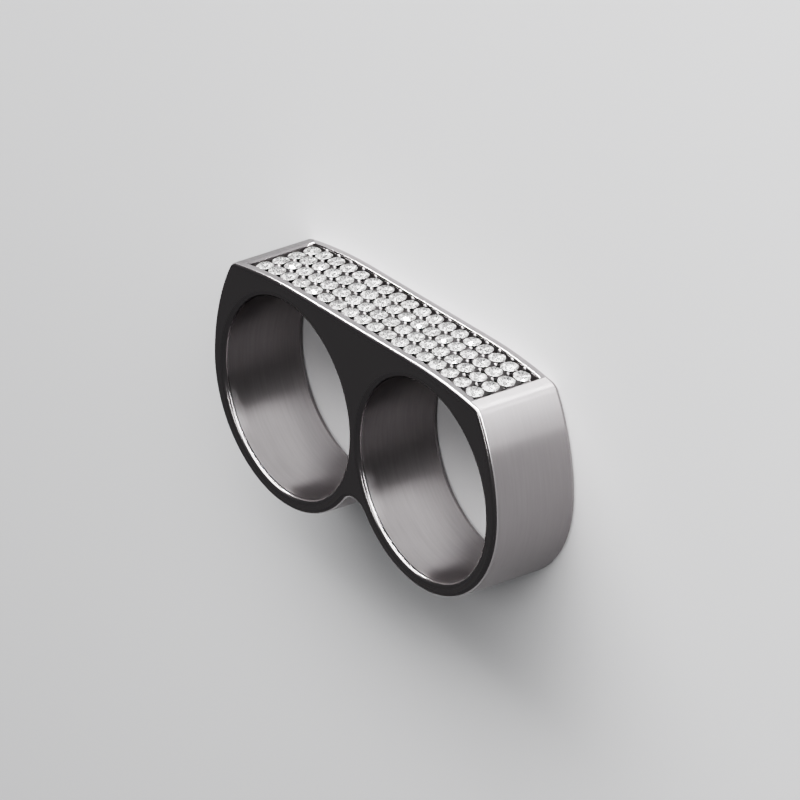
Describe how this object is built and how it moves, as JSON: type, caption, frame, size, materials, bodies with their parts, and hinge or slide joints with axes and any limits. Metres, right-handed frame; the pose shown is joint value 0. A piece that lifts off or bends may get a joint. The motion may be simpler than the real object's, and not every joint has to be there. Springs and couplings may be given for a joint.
{
  "type": "two finger ring",
  "caption": "Two finger ring: two joined round hoops under a straight top bar with softly bent ends and a tray of small round cut stones set in rows.",
  "frame": {"origin": "centre of the footprint, on the surface that the ring lies on", "axes": "+X along the bar, across the two fingers; +Y towards the stones; +Z along the finger holes, up from the surface that the ring lies on"},
  "size_m": [0.0428, 0.022, 0.009],
  "materials": {
    "steel": "polished stainless steel with fine brushing inside the hoops",
    "stone": "clear cut and polished"
  },
  "bodies": {
    "root": {"ring_body": "steel", "stones": "stone"}
  },
  "joints": []
}
